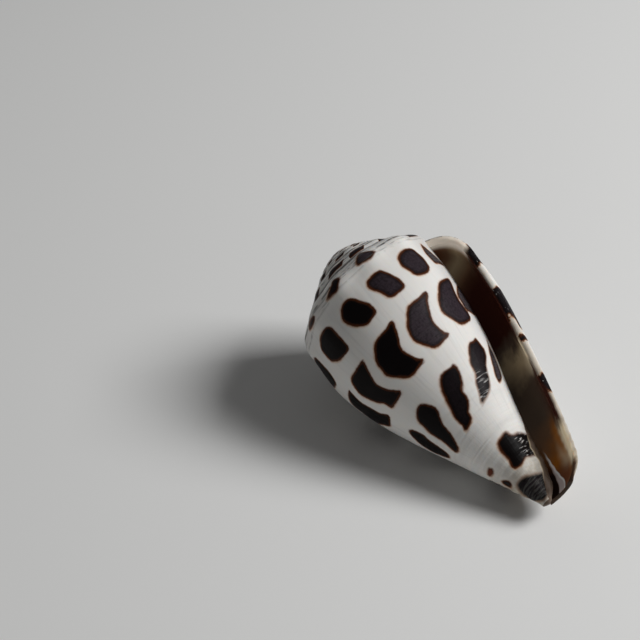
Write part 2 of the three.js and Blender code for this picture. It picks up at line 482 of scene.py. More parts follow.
# What each corner of the skin stores: where on the shell it is, and how its markings lie there
FIELDS = ("turn", "up", "along", "inside", "deep", "pillar", "mark", "tone", "wear", "young")


def bend_grid(slices, stacks, bend):
    """Adds a flat grid and bends it to its place on the shell."""
    bpy.ops.object.select_all(action="DESELECT")
    bpy.ops.mesh.primitive_grid_add(x_subdivisions=slices, y_subdivisions=stacks, size=1)
    piece = bpy.context.object
    mesh = piece.data
    flat = np.empty(len(mesh.vertices) * 3)
    mesh.vertices.foreach_get("co", flat)
    flat = flat.reshape(-1, 3)
    u = np.rint((flat[:, 0] + 0.5) * slices) / slices
    v = np.rint((flat[:, 1] + 0.5) * stacks) / stacks
    points, fields = bend(u, v)
    mesh.vertices.foreach_set("co", (lay(points) * MM).ravel())
    write_fields(mesh, u, fields)
    return piece


def write_fields(mesh, u, fields):
    """Stores the fields at each corner of each face."""
    corner = np.empty(len(mesh.loops), int)
    mesh.loops.foreach_get("vertex_index", corner)
    values = {name: np.broadcast_to(np.asarray(fields.get(name, 0), float), u.shape) for name in FIELDS}
    values["along"] = along_side(values["up"])
    values.update(markings(values["turn"], values["up"], values["along"]))
    for name in FIELDS:
        attribute = mesh.attributes.new(name, "FLOAT", "CORNER")
        attribute.data.foreach_set("value", np.ascontiguousarray(values[name][corner], np.float32))


# The markings

# Blotches as they lie in the photograph's frame, in pixels, row by row from the spire down to the base
# Tone is -1 for rust, 0 for black, 1 for a painted purple-grey sheen, and 2 for grey lines that are partly
# fine streaks and partly a painted glancing reflection, and wear runs from 0 to 1
# Grades say, by a blotch's number, how much its wear grows towards its older side and towards its top
ROW_A = {
    "tones": (2, 0.3, 0), "wear": (0.3, 0.2, 0), "grades": {},
    "outlines": [
        [(348, 262), (356, 256), (366, 251), (376, 251), (371, 258), (363, 263), (356, 265)],
        [(331, 286), (332, 281), (336, 278), (341, 277), (339, 284), (338, 290), (333, 296), (326, 301)],
        [(309, 323), (312, 316), (315, 317), (314, 324), (310, 330)],
    ],
}
ROW_B = {
    "tones": (1.8, 1, 1, 0, 0, 0), "wear": (0, 0, 0, 0, 0, 0), "grades": {},
    "outlines": [
        [(421, 244), (425, 247), (431, 252), (437, 258), (442, 264), (437, 264), (431, 259), (425, 252)],
        [(398, 256), (403, 250), (411, 248), (417, 252), (426, 261), (430, 268), (427, 273), (417, 275),
         (408, 270), (401, 265)],
        [(366, 283), (369, 278), (377, 271), (382, 270), (390, 273), (401, 280), (405, 287), (396, 295),
         (389, 298), (383, 295), (369, 289)],
        [(341, 309), (345, 301), (352, 298), (359, 300), (369, 303), (377, 311), (374, 318), (366, 325),
         (356, 327), (349, 325), (342, 320)],
        [(320, 337), (323, 330), (328, 326), (333, 329), (340, 336), (349, 347), (346, 355), (338, 361),
         (332, 361), (325, 355), (321, 348)],
        [(314, 358), (318, 360), (324, 366), (332, 375), (336, 385), (328, 382), (320, 374), (315, 364)],
    ],
}
ROW_C = {
    "tones": (1.8, 1, 1.25, 0, 0, 0), "wear": (0, 0, 0, 0, 0, 0), "grades": {},
    "outlines": [
        [(455, 283), (461, 288), (467, 300), (472, 309), (473, 314), (467, 310), (462, 303), (457, 294)],
        [(439, 283), (442, 280), (448, 278), (451, 282), (458, 298), (471, 318), (462, 325), (450, 318),
         (443, 313), (439, 305), (438, 294)],
        [(426, 292), (428, 296), (430, 312), (434, 322), (442, 330), (449, 333), (450, 336), (446, 340),
         (435, 348), (417, 343), (411, 338), (407, 328), (406, 316), (408, 307), (416, 299)],
        [(392, 321), (395, 325), (399, 337), (401, 347), (407, 353), (416, 358), (425, 360), (422, 366),
         (410, 378), (389, 377), (382, 371), (376, 362), (374, 344), (384, 330)],
        [(362, 360), (366, 364), (372, 376), (377, 384), (385, 388), (402, 391), (399, 398), (392, 408),
         (384, 404), (376, 403), (362, 396), (356, 389), (350, 380), (354, 372)],
        [(348, 390), (352, 393), (361, 402), (369, 407), (380, 413), (390, 416), (391, 426), (381, 423),
         (371, 419), (361, 411), (351, 402)],
    ],
}
ROW_D = {
    "tones": (1.7, 0.35, 0.2, 0, 0), "wear": (0.3, 0.42, 0.2, 0.1, 0.1), "grades": {1: (0, -0.5)},
    "outlines": [
        [(486, 339), (490, 348), (496, 361), (502, 376), (500, 383), (497, 380), (494, 370), (490, 355)],
        [(469, 345), (472, 340), (476, 338), (481, 344), (485, 350), (487, 358), (487, 367), (490, 382),
         (490, 393), (482, 404), (480, 401), (479, 392), (476, 383), (474, 372), (469, 360)],
        [(440, 377), (443, 371), (450, 366), (454, 364), (459, 370), (463, 383), (463, 390), (468, 397),
         (470, 405), (469, 413), (473, 420), (465, 432), (462, 426), (455, 419), (446, 400), (440, 387)],
        [(415, 413), (420, 404), (432, 405), (438, 411), (445, 426), (451, 434), (459, 449), (456, 453),
         (445, 444), (429, 433), (424, 427), (418, 422)],
        [(409, 431), (414, 430), (422, 434), (432, 442), (447, 453), (450, 458), (441, 455), (430, 450),
         (414, 439)],
    ],
}
ROW_E = {
    "tones": (0, -1, 0.6, 0.3), "wear": (0.4, 0.3, 0.3, 1), "grades": {0: (0.5, 0)},
    "outlines": [
        [(497, 445), (501, 437), (505, 431), (511, 434), (518, 432), (526, 434), (530, 437), (537, 453),
         (526, 458), (522, 464), (516, 469), (511, 467), (509, 461), (503, 455)],
        [(488, 469), (491, 468), (494, 472), (492, 476), (489, 476)],
        [(501, 481), (506, 480), (510, 482), (512, 486), (510, 488), (506, 486)],
        [(516, 486), (522, 478), (530, 475), (540, 472), (545, 472), (548, 485), (548, 494), (543, 501),
         (533, 501), (522, 494)],
    ],
}
ROWS = {"A": ROW_A, "B": ROW_B, "C": ROW_C, "D": ROW_D, "E": ROW_E}

# The skin that is searched for a pixel, and the turn of the shell that faces the camera
SEEN_TURNS = np.radians(np.arange(150, 385, 0.5))
SEEN_UPS = np.arange(0, 1.9, 0.004)
SIDE_SAMPLES = 401
NEAR_SIDE = 0.75 * TURN
BACK_FACE_COST = 1e6
# How far a blotch on the horizon reaches past it, and how nearly edge-on the skin is there
HORIZON_REACH = math.radians(12)
HORIZON_FACING = (0.05, 0.3)

# Blotches on the side away from the camera: the row, the blotches they are drawn like, and degrees back
HIDDEN_ROWS = [
    ("B", (1, 2, 3, 4), (181, 152, 121, 92, 62, 33)),
    ("C", (2, 3, 4), (177, 144, 110, 77, 43, 8)),
    ("D", (1, 2, 3), (172, 135, 99, 64, 31)),
    ("E", (0,), (148, 45)),
    ("E", (3,), (130, 35)),
]
HIDDEN_SEED = 11
HIDDEN_WIDTHS = (0.85, 1.05)
HIDDEN_HEIGHTS = (0.88, 1.06)
HIDDEN_LEANS = (-0.15, 0.15)
HIDDEN_SHIFTS = (-0.25, 0.25)
# How much painted purple-grey sheen the hidden blotches have, as their tone
HIDDEN_TONES = (0, 0.8)

# Small spots on the edge of the lip: degrees back, place up the side, half width and half height in mm
LIP_SPOTS = [(4, 0.965, 2.2, 1.6), (3, 0.77, 2.6, 2.4), (2, 0.66, 1.6, 0.5), (3, 0.547, 2.4, 1.5),
             (24, 0.665, 0.8, 0.5)]
# The lip's spots have a little painted purple-grey sheen
LIP_SPOT_TONE = 0.2
LIP_SPOT_WEAR = 0.1
LIP_SPOT_CORNERS = 12

# Flecks on the spire: one to a step round, with sizes as shares of the step and of the whorl's top
FLECK_STEP = math.radians(31)
FLECK_SEED = 5
FLECK_SHIFTS = (-0.14, 0.14)
FLECK_WIDTHS = (0.14, 0.34)
FLECK_REACHES = (0.12, 0.26)
FLECK_MIDDLES = (1.25, 1.6)
FLECK_SLANT = 0.5
# The spire's flecks have some painted purple-grey sheen
FLECK_TONE = 0.4
FLECK_CRISPNESS = 1.8
WHORL_TOP_WIDTH = 3.2
# Turns between which the last whorl's top has traced blotches and no flecks
TRACED_TURNS = (math.radians(212), math.radians(341))
# The distance in mm at which a mark no longer matters
FAR_FROM_MARKS = -2.0


def outside_point(turn, up):
    """A point of the outer skin: up runs from 0 at the base to 1 at the shoulder and 2 at the seam."""
    side = wall_place(turn, np.clip(up, 0, 1))
    top = ramp_place(turn, np.clip(up - 1, 0, 1))
    return lay(np.where((up > 1)[..., None], top, side))


def side_lengths():
    """How far each place up the side is from the base along the skin, in mm."""
    ups = np.linspace(0, 2, SIDE_SAMPLES)
    points = outside_point(np.full_like(ups, NEAR_SIDE), ups)
    steps = np.linalg.norm(np.diff(points, axis=0), axis=1)
    return ups, np.concatenate([[0], np.cumsum(steps)])


SIDE_UPS, SIDE_LENGTHS = side_lengths()


def along_side(up):
    return np.interp(up, SIDE_UPS, SIDE_LENGTHS)


def up_side(along):
    return np.interp(along, SIDE_LENGTHS, SIDE_UPS)


def skin_radius(turn, along):
    """How far a place on the skin is from the shell's axis, in mm."""
    up = np.full(1, float(up_side(along)))
    turn = np.full(1, float(turn))
    radius, _ = wall(turn, up) if up[0] <= 1 else ramp(turn, up - 1)
    return float(radius[0])


class SeenSkin:
    """The part of the outer skin that the photograph shows."""

    def __init__(self):
        self.turn, self.up = np.meshgrid(SEEN_TURNS, SEEN_UPS, indexing="ij")
        points = outside_point(self.turn, self.up)
        back = view_axes()[2]
        ray = aim_point() + back * VIEW_DISTANCE - points
        distance = np.linalg.norm(ray, axis=-1)
        normal = np.cross(np.gradient(points, axis=0), np.gradient(points, axis=1))
        size = np.linalg.norm(normal, axis=-1) + 1e-12
        self.facing = (normal * ray).sum(-1) / size / distance
        self.pixels = pixels(points)
        self.hidden = np.where(self.facing > 0, 0, BACK_FACE_COST) + distance

    def find(self, pixel):
        """Turn, place along the side and facing of the skin at one pixel."""
        cost = ((self.pixels - pixel) ** 2).sum(-1) + self.hidden
        spot = np.unravel_index(np.argmin(cost), cost.shape)
        return self.turn[spot], along_side(self.up[spot]), self.facing[spot]


def rounded(corners, steps=4):
    """A closed smooth curve through the corners."""
    ring = np.vstack([corners[-1:], corners, corners[:2]])
    count = len(corners) * steps
    t = (1 + np.arange(count) / steps) / (len(ring) - 1)
    return spline(ring, t)


class Blotch:
    """A dark mark: its outline in mm on the unrolled skin, about its middle."""

    def __init__(self, turn, along, corners, tone, wear, grade=(0, 0)):
        self.turn = turn
        self.along = along
        self.radius = skin_radius(turn, along)
        self.corners = corners
        self.tone = tone
        self.wear = wear
        self.grade = grade

    def wear_at(self, x, y):
        """How worn it is, which can grow towards its older side and towards its top."""
        reach = np.abs(self.corners).max(0)
        return np.clip(self.wear + self.grade[0] * x / reach[0] + self.grade[1] * y / reach[1], 0, 1)

    def distance(self, x, y):
        """Signed distance from the outline, positive inside it."""
        start = self.corners
        edge = np.roll(start, -1, 0) - start
        to_x = x[:, None] - start[:, 0]
        to_y = y[:, None] - start[:, 1]
        share = np.clip((to_x * edge[:, 0] + to_y * edge[:, 1]) / (edge ** 2).sum(1), 0, 1)
        gap = np.hypot(to_x - share * edge[:, 0], to_y - share * edge[:, 1]).min(1)
        spans = (to_y < 0) != (to_y - edge[:, 1] < 0)
        slope = np.where(edge[:, 1] == 0, 1, edge[:, 1])
        left = to_x < edge[:, 0] * to_y / slope
        inside = (spans & left).sum(1) % 2 == 1
        return np.where(inside, gap, -gap)


def about_middle(turns, alongs):
    """A blotch's middle and its outline about it in mm."""
    turn, along = turns.mean(), alongs.mean()
    return turn, along, np.stack([(turns - turn) * skin_radius(turn, along), alongs - along], -1)


def seen_blotches(row, skin):
    """The row's blotches where the photograph shows them; those on the horizon reach past it."""
    blotches = []
    for count, (outline, tone, wear) in enumerate(zip(row["outlines"], row["tones"], row["wear"])):
        found = np.array([skin.find(pixel) for pixel in outline])
        turns, alongs, facing = found.T
        beyond = np.where(turns > NEAR_SIDE, 1, -1) * (1 - smooth(facing, *HORIZON_FACING))
        turn, along, corners = about_middle(turns + beyond * HORIZON_REACH, alongs)
        grade = row["grades"].get(count, (0, 0))
        blotches.append(Blotch(turn, along, rounded(corners), tone, wear, grade))
    return blotches


def hidden_blotches(seen, models, middles, chance):
    """Blotches like the row's whole ones, carried round to the side away from the camera."""
    blotches = []
    for count, middle in enumerate(middles):
        model = seen[models[count % len(models)]]
        stretch = np.array([chance.uniform(*HIDDEN_WIDTHS), chance.uniform(*HIDDEN_HEIGHTS)])
        lean = chance.uniform(*HIDDEN_LEANS)
        corners = model.corners * stretch
        corners = np.stack([corners[:, 0] + lean * corners[:, 1], corners[:, 1]], -1)
        along = model.along + chance.uniform(*HIDDEN_SHIFTS)
        tone = chance.uniform(*HIDDEN_TONES)
        blotches.append(Blotch(math.radians(middle), along, corners, tone, model.wear, model.grade))
    return blotches


def lip_spots():
    angles = np.linspace(0, TURN, LIP_SPOT_CORNERS, endpoint=False)
    ring = np.stack([np.cos(angles), np.sin(angles)], -1)
    return [Blotch(math.radians(back), along_side(up), ring * (width, height), LIP_SPOT_TONE, LIP_SPOT_WEAR)
            for back, up, width, height in LIP_SPOTS]


def all_blotches():
    skin = SeenSkin()
    chance = random.Random(HIDDEN_SEED)
    seen = {name: seen_blotches(row, skin) for name, row in ROWS.items()}
    blotches = [blotch for row in seen.values() for blotch in row]
    for name, models, middles in HIDDEN_ROWS:
        blotches += hidden_blotches(seen[name], models, middles, chance)
    return blotches + lip_spots()


BLOTCHES = all_blotches()


def spire_flecks(turn, up):
    """Signed distance from the dark flecks that cross the whorls' tops."""
    count = int(SPIRE_TURNS * TURN / FLECK_STEP) + 2
    chance = np.random.default_rng(FLECK_SEED)
    shift = chance.uniform(*FLECK_SHIFTS, count)
    width = chance.uniform(*FLECK_WIDTHS, count)
    reach = chance.uniform(*FLECK_REACHES, count)
    middle = chance.uniform(*FLECK_MIDDLES, count)
    cell = np.floor(turn / FLECK_STEP).astype(int)
    phase = turn / FLECK_STEP - cell - 0.5 - shift[cell] - FLECK_SLANT * (up - 1.5)
    radius = LIP_SHOULDER[0] * shrink(turn)
    across = (width[cell] - np.abs(phase)) * FLECK_STEP * radius
    inward = (reach[cell] - np.abs(up - middle[cell])) * WHORL_TOP_WIDTH * shrink(turn)
    gap = np.minimum(across, inward) * FLECK_CRISPNESS
    traced = (turn >= TRACED_TURNS[0]) & (turn <= TRACED_TURNS[1])
    return np.where((up > 1) & ~traced, gap, FAR_FROM_MARKS)


def markings(turn, up, along):
    """Distance to the nearest mark's edge in mm, positive inside it, with its tone, wear and younger side."""
    mark = np.maximum(spire_flecks(turn, up), FAR_FROM_MARKS)
    tone = np.full(turn.shape, FLECK_TONE)
    wear = np.zeros(turn.shape)
    young = np.full(turn.shape, -1.0)
    for blotch in BLOTCHES:
        x = (turn - blotch.turn) * blotch.radius
        y = along - blotch.along
        low = blotch.corners.min(0) + FAR_FROM_MARKS
        high = blotch.corners.max(0) - FAR_FROM_MARKS
        near = np.flatnonzero((x > low[0]) & (x < high[0]) & (y > low[1]) & (y < high[1]))
        gap = blotch.distance(x[near], y[near])
        closer = gap > mark[near]
        spots = near[closer]
        mark[spots] = gap[closer]
        tone[spots] = blotch.tone
        wear[spots] = blotch.wear_at(x[spots], y[spots])
        young[spots] = np.clip(-x[spots] / blotch.corners[:, 0].max(), -1, 1)
    return dict(mark=mark, tone=tone, wear=wear, young=young)


# The finish

def tint(red, green, blue):
    """A colour given as the eye sees it on a screen, 0 to 255, as the light that a shader takes."""
    seen = [channel / 255 for channel in (red, green, blue)]
    light = [(c / 12.92 if c <= 0.04045 else ((c + 0.055) / 1.055) ** 2.4) for c in seen]
    return (*light, 1)


WHITE = tint(233, 231, 227)
CREAM = tint(222, 212, 192)
PALE_GREY = tint(206, 204, 202)
# The grey cream of the painted shade on the lip's edge
RIM_CREAM = tint(182, 172, 156)
FRINGE = tint(190, 128, 60)
DARK_BROWN = tint(84, 43, 20)
BLACK = tint(9, 6, 6)
# The colour of the painted sheen on the blotches
PURPLE_GREY = tint(57, 48, 54)
# White of worn pigment, and of painted glints
WORN_AND_GLINT_WHITE = tint(204, 201, 198)
STREAK_GREY = tint(84, 84, 80)
RUST = tint(104, 46, 30)
LIT_CREAM = tint(222, 212, 198)
BEIGE = tint(216, 200, 170)
DUSK_BEIGE = tint(164, 144, 114)
DUSK_BROWN = tint(112, 84, 62)
EDGE_BROWN = tint(56, 44, 35)
GREY_BROWN = tint(88, 74, 62)
GLAZE = tint(104, 90, 80)
WARM_BROWN = tint(112, 70, 40)
ORANGE_BROWN = tint(160, 96, 30)
RED_BROWN = tint(120, 72, 46)
MAROON = tint(60, 28, 20)
NEAR_BLACK = tint(30, 17, 13)
SHELL_GREY = tint(196, 184, 181)
STAIN = tint(128, 116, 94)
# The dark of the painted shade in the spire's seams and grooves
SEAM_SHADE = tint(38, 31, 28)

# Bands inside the aperture, from the base up to the shoulder and on to the seam, by the rim and deeper in:
# partly the lip's own colours and partly painted light and shade, lit cream at the rim's top and darker
# deeper in
RIM_BANDS = [(0.0, EDGE_BROWN), (0.09, WARM_BROWN), (0.21, DUSK_BROWN), (0.29, BEIGE), (0.42, BEIGE),
             (0.455, MAROON), (0.585, MAROON), (0.612, BEIGE), (0.655, BEIGE), (0.68, MAROON),
             (0.95, MAROON), (1.03, GREY_BROWN), (1.15, LIT_CREAM), (2.0, LIT_CREAM)]
DEEP_BANDS = [(0.0, MAROON), (0.12, DARK_BROWN), (0.26, WARM_BROWN), (0.36, ORANGE_BROWN), (0.45, DUSK_BROWN),
              (0.52, GREY_BROWN), (0.6, GREY_BROWN), (0.67, DUSK_BEIGE), (0.7, GREY_BROWN), (0.74, MAROON),
              (0.92, MAROON), (1.1, DUSK_BROWN), (1.45, DUSK_BEIGE), (1.7, DUSK_BROWN), (2.0, DARK_BROWN)]
# The canal's pale edge: how deep it ends and, at the base, starts, and the places up the side of its point
CANAL_EDGE = 0.36
SLIVER_START = 0.16
SLIVER_POINT = 0.44
SLIVER_FULL = 0.39
# Strength of the painted glow inside the aperture, which stands for light let through the thin lip where it
# is white, and the share of it where the lip is dark
THROUGH_LIP = 0.24
THROUGH_DARK = 0.5

# Where the outside's colours start and are full: mm along the side, places up it, and angles from the lip
CREAM_ALONG = (11, 2)
SPIRAL_ALONG = (22, 8)
STAIN_ALONG = (9, 0.8)
SPECKS_ALONG = (12, 10)
CORDS_ALONG = (20, 9)
LOW_LIP_UP = (0.9, 0.55)
PAINTED_SHADE_UP = (0.6, 0.8)
SPIRE_UP = (0.985, 0.99)
RIDGED_UP = (1.04, 1.2)
SEAM_BELOW_UP = (1.72, 1.97)
SEAM_ABOVE_UP = (1.16, 1.03)
SEAM_ABOVE_STARTS = (TURN, TURN + 0.1)
PAINTED_SHADE_STARTS = (TURN - 0.5, TURN - 0.05)
PAINTED_SHADE_ENDS = (TURN + 0.4, TURN + 0.2)
LIP_BORDER = (0.16, 0.02)
RIDGES_PER_WHORL = 3

# Where the aperture's colours start and are full: places up the side, and shares of the way in
WIDE_RIM_UP = (0.46, 0.36)
SHARP_RIM_UP = (0.95, 1.1)
RED_UP = (0.36, 0.26)
RED_DEEP = (0.04, 0.14)
STREAK_UP = (0.5, 0.44)
STREAK_LEANS_UP = (0.44, 0.28)
STREAK_FAINT_UP = (0.1, 0.25)
STREAK_STRONG_UP = (0.3, 0.4)
STREAK_STARTS = (0.1, 0.15)
STREAK_ENDS = (0.24, 0.16)
SHADE_UP = (0.54, 0.62)
SHADE_DEEP = (0.2, 0.42)
CANAL_UP = (0.5, 0.3)
LOW_EDGE_UP = (0.3, 0.1)
# How much further out over the lip's edge the lining's colours go, and the places up the side where they do
LINING_ON_RIM = [(0.6, (0.98, 1.1)), (0.35, (0.57, 0.53)), (0.2, (0.32, 0.12))]
# Parts of the lip with no dark layer: places up the side where each starts and ends, and how deep it fades
WHITE_PARTS = [((0.59, 0.625), (0.7, 0.65), (0.34, 0.08)), ((0.22, 0.32), (0.46, 0.41), (0.12, 0)),
               ((1, 1.12), (2.1, 2), (0.1, 0.03))]

# Noise that is stretched on the skin: how fine it is round the shell, at a middle radius, and along its side
MIDDLE_RADIUS = 10
GROWTH_GRAIN = (1.6, 0.12)
SPIRAL_GRAIN = (0.06, 1.3)
STREAK_GRAIN = (0.3, 2.4)
SLASH_GRAIN = (0.22, 4.2)
SPECK_GRAIN = (0.3, 4.8)
LINE_GRAIN = (0.08, 4.5)
CORD_GRAIN = (0.05, 2.2)
RIPPLE_GRAIN = (1.2, 0.1)

# The studio: a pale floor, a soft key light and a faint sky, in metres and watts
FLOOR_SIZE = 4
FLOOR_COLOUR = (0.84, 0.84, 0.83, 1)
FLOOR_ROUGHNESS = 0.8
KEY_AZIMUTH = math.radians(143)
KEY_ELEVATION = math.radians(45)
KEY_REACH = 0.5
KEY_SIZE = 0.22
KEY_POWER = 2.15
SKY_STRENGTH = 0.1
NEAREST_SEEN = 0.01
SMOOTH_BELOW = math.radians(60)


def worked(operation, swapped=False):
    """A method that works an operation on a value and another number, which can come first."""
    def work(self, other):
        pair = (other, self) if swapped else (self, other)
        return self.finish.node("ShaderNodeMath", {"operation": operation}, dict(enumerate(pair)))
    return work


class Value:
    """A number in the material, worked with as numbers are."""

    def __init__(self, finish, socket):
        self.finish = finish
        self.socket = socket

    __add__ = worked("ADD")
    __radd__ = worked("ADD", swapped=True)
    __sub__ = worked("SUBTRACT")
    __rsub__ = worked("SUBTRACT", swapped=True)
    __mul__ = worked("MULTIPLY")
    __rmul__ = worked("MULTIPLY", swapped=True)
    __truediv__ = worked("DIVIDE")
    __rtruediv__ = worked("DIVIDE", swapped=True)
    __pow__ = worked("POWER")
    __rpow__ = worked("POWER", swapped=True)

    def __neg__(self):
        return self * -1


class Finish:
    """A material made of nodes."""

    def __init__(self, name):
        self.material = bpy.data.materials.new(name)
        self.material.use_nodes = True
        self.tree = self.material.node_tree
        self.surface = self.tree.nodes["Principled BSDF"]
        self.place = self.node("ShaderNodeTexCoord", {}, {}, "Object")

    def node(self, kind, settings, sockets, output=0):
        """Adds a node, with its settings and then its sockets, and gives one of its outputs."""
        node = self.tree.nodes.new(kind)
        for name, setting in settings.items():
            if name == "stops":
                self.set_stops(node.color_ramp, setting)
            else:
                setattr(node, name, setting)
        for name, value in sockets.items():
            self.feed(node.inputs[name], value)
        return Value(self, node.outputs[output])

    @staticmethod
    def set_stops(color_ramp, stops):
        while len(color_ramp.elements) < len(stops):
            color_ramp.elements.new(1)
        for element, (position, colour) in zip(color_ramp.elements, stops):
            element.position = position
            element.color = colour

    def feed(self, socket, value):
        if isinstance(value, Value):
            self.tree.links.new(value.socket, socket)
        else:
            socket.default_value = value

    def field(self, name):
        return self.node("ShaderNodeAttribute", {"attribute_name": name}, {}, "Fac")

    def ease(self, value, low, high):
        return self.node("ShaderNodeMapRange", {"interpolation_type": "SMOOTHSTEP"},
                         {"Value": value, "From Min": low, "From Max": high})

    def over(self, **ranges):
        """1 where each named field is past the end of its range, easing from 0 at the range's start."""
        return math.prod(self.ease(self.field(name), *ends) for name, ends in ranges.items())

    def cloud(self, place, scale, detail):
        sockets = {"Vector": place, "Scale": scale, "Detail": detail}
        return self.node("ShaderNodeTexNoise", {}, sockets) - 0.5

    def noise(self, size, detail=2.0):
        """Cloudy noise about 0, with features of about the given size in mm."""
        return self.cloud(self.place, 1 / (size * MM), detail)

    def grain(self, fineness, detail):
        """Noise about 0 on the unrolled skin, as fine as given round the shell and along its side."""
        across, along = fineness
        sockets = {"X": self.field("turn") * (MIDDLE_RADIUS * across), "Y": self.field("along") * along}
        return self.cloud(self.node("ShaderNodeCombineXYZ", {}, sockets), 1, detail)

    def mix(self, factor, first, second):
        return self.node("ShaderNodeMix", {"data_type": "RGBA"}, {0: factor, 6: first, 7: second}, 2)

    def layered(self, colour, *layers):
        """A colour with others laid over it in turn, each by its share."""
        for share, other in layers:
            colour = self.mix(share, colour, other)
        return colour

    def bands(self, place, stops):
        """The colour of a place from 0 to 2, blended between the stops."""
        halved = [(stop / 2, colour) for stop, colour in stops]
        return self.node("ShaderNodeValToRGB", {"stops": halved}, {"Fac": place / 2})


def by_lip(finish):
    """1 at the lip's edge, fading out a little way back from it."""
    return finish.over(turn=LIP_BORDER)


def ground_colour(finish):
    """Warm white with faint grey lines, painted shade in pale grey beside the aperture's top, and cream and
    stains by the base.
    """
    growth = finish.ease(finish.grain(GROWTH_GRAIN, 3), 0, 0.3)
    spiral = finish.ease(finish.grain(SPIRAL_GRAIN, 2), -0.1, 0.25) * finish.over(along=SPIRAL_ALONG)
    # painted shade: pale grey on the body beside the top of the aperture
    beside = finish.over(turn=PAINTED_SHADE_STARTS, up=PAINTED_SHADE_UP) * finish.over(turn=PAINTED_SHADE_ENDS)
    cream = finish.over(along=CREAM_ALONG) * finish.ease(finish.noise(5, 3), -0.2, 0.25)
    stain = finish.over(along=STAIN_ALONG) * finish.ease(finish.noise(0.9, 3), -0.5, 0.2)
    return finish.layered(WHITE, (growth * 0.45, PALE_GREY), (spiral * 0.35, PALE_GREY),
                          (beside * 0.9, PALE_GREY), (cream * 0.7, CREAM), (stain * 0.8, STAIN))


def spire_painted_shade(finish):
    """Painted shade in the seams of the spire and in grooves along its whorls, with darker fine streaks along
    them.
    """
    # painted shade: darker in the seams between the whorls
    below = finish.over(up=SEAM_BELOW_UP)
    above = finish.over(up=SEAM_ABOVE_UP, turn=SEAM_ABOVE_STARTS)
    seams = (below + above) * finish.over(up=SPIRE_UP) * finish.ease(finish.noise(1.6, 2), -0.3, 0)
    streaks = finish.ease(finish.grain(STREAK_GRAIN, 3), 0.02, 0.16)
    angle = finish.field("up") * (TURN * RIDGES_PER_WHORL)
    waves = finish.node("ShaderNodeMath", {"operation": "SINE"}, {0: angle})
    # painted shade: dark grooves between low ridges along the whorls
    grooves = finish.ease(waves, 0.35, 0.95) * finish.ease(finish.noise(1.1, 2), -0.16, 0.08)
    return seams + (streaks * 0.5 + grooves * 0.7) * finish.over(up=RIDGED_UP)


def outside_colour(finish):
    """The white ground and its blotches, each dark brown at the edge with a rusty fringe."""
    wear = finish.field("wear")
    on_rim = finish.over(inside=(0, 0.3))
    wavy = finish.noise(1.3, 2) * (0.3 + 1.2 * on_rim) + finish.noise(0.4) * (0.1 + on_rim)
    ragged = finish.field("mark") + wavy
    blur = 0.1 + 0.2 * wear
    ink = finish.ease(ragged, -blur, blur)
    heart = finish.ease(ragged + finish.noise(0.9) * 0.2 + wear * 0.15, 0.04, 0.42)
    fringe = finish.ease(ragged, -0.3, 0.06) * (0.25 + 0.75 * finish.over(young=(-0.6, 0.6)))
    # painted shade: the lip's edge and the skin just behind it are darkened to grey cream, most low on the
    # lip
    lip_painted_shade = by_lip(finish) * (0.25 + 0.5 * finish.over(up=LOW_LIP_UP))
    return finish.layered(
        ground_colour(finish),
        (spire_painted_shade(finish) * 0.85, SEAM_SHADE),
        (on_rim * 0.2 + lip_painted_shade, RIM_CREAM),
        (fringe * (1 - 0.6 * wear) * 0.7, FRINGE),
        (ink, finish.mix(heart, DARK_BROWN, blotch_colour(finish))),
        (worn_chips_and_glints(finish, on_rim) * ink, WORN_AND_GLINT_WHITE),
    )


def blotch_colour(finish):
    """Black, with a painted purple-grey sheen on some blotches and rust on others, fine grey spiral lines on
    the worn ones, and grey lines, partly painted glancing reflection, where the tone is above 1.
    """
    tone = finish.field("tone")
    # painted reflection: a purple-grey sheen towards the middle of the toned blotches
    painted_reflection = tone * finish.ease(finish.noise(0.28, 3), -0.6, 0.3) * finish.over(mark=(0.12, 0.75))
    lines = finish.ease(finish.grain(LINE_GRAIN, 3), -0.1, 0.2)
    # worn blotches get grey spiral lines, and those toned above 1 also get grey lines of painted glancing
    # reflection
    wear_and_glancing_reflection = finish.over(wear=(0.8, 1)) + finish.ease(tone, 1, 2)
    return finish.layered(BLACK, (painted_reflection, PURPLE_GREY), (finish.ease(tone, 0, -1), RUST),
                          (lines * wear_and_glancing_reflection * 0.75, STREAK_GREY))


def worn_chips_and_glints(finish, on_rim):
    """White slashes of wear in the half-worn blotches, painted glints as specks in them by the base, and
    painted glints as flecks on the lip's edge.
    """
    half_worn = finish.over(wear=(0.36, 0.6)) * finish.over(wear=(0.98, 0.9))
    slashes = finish.ease(finish.grain(SLASH_GRAIN, 4), 0.02, 0.14)
    # painted glints: white specks in the worn blotches by the base
    glint_specks = finish.ease(finish.grain(SPECK_GRAIN, 4), 0.06, 0.15)
    chips = slashes + (glint_specks - slashes) * finish.over(along=SPECKS_ALONG)
    clumps = finish.ease(finish.noise(1.5, 2), -0.22, 0.08)
    # painted glints: white flecks on the dark marks of the lip's edge
    flecks = finish.ease(finish.noise(0.3, 3), 0.14, 0.2) * on_rim
    return half_worn * chips * clumps * 0.85 + flecks * 0.5


